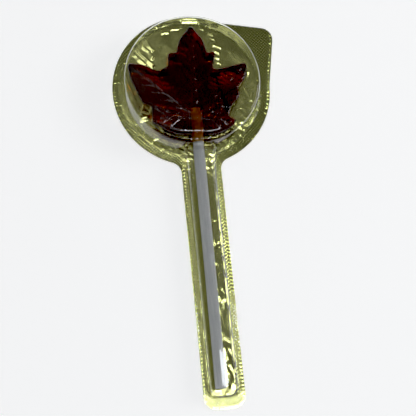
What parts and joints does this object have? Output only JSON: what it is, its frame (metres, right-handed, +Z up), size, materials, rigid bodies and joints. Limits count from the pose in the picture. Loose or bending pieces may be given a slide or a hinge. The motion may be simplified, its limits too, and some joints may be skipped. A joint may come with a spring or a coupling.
{
  "type": "maple sugar lollipop",
  "caption": "Maple-leaf hard candy on a paper stick, sealed in a clear paddle-shaped blister with a gold foil back and a corner peel tab.",
  "frame": {"origin": "on the flat underside of the foil, at the middle of the round head; the pack lies on the XY plane", "axes": "+Y along the stick towards the leaf's top lobe, +X to the right with the tab at the upper right, +Z up out of the blister"},
  "size_m": [0.0625, 0.1474, 0.0133],
  "materials": {
    "gold_foil": "crinkled gold lidding foil, knurled on the heat seal",
    "clear_plastic": "clear thermoformed sheet",
    "hard_candy": "glossy, dark and translucent",
    "stick_paper": "smooth rolled paper"
  },
  "bodies": {
    "root": {"foil_backing": "gold_foil", "clear_blister": "clear_plastic", "candy_leaf": "hard_candy", "stick": "stick_paper"}
  },
  "joints": []
}
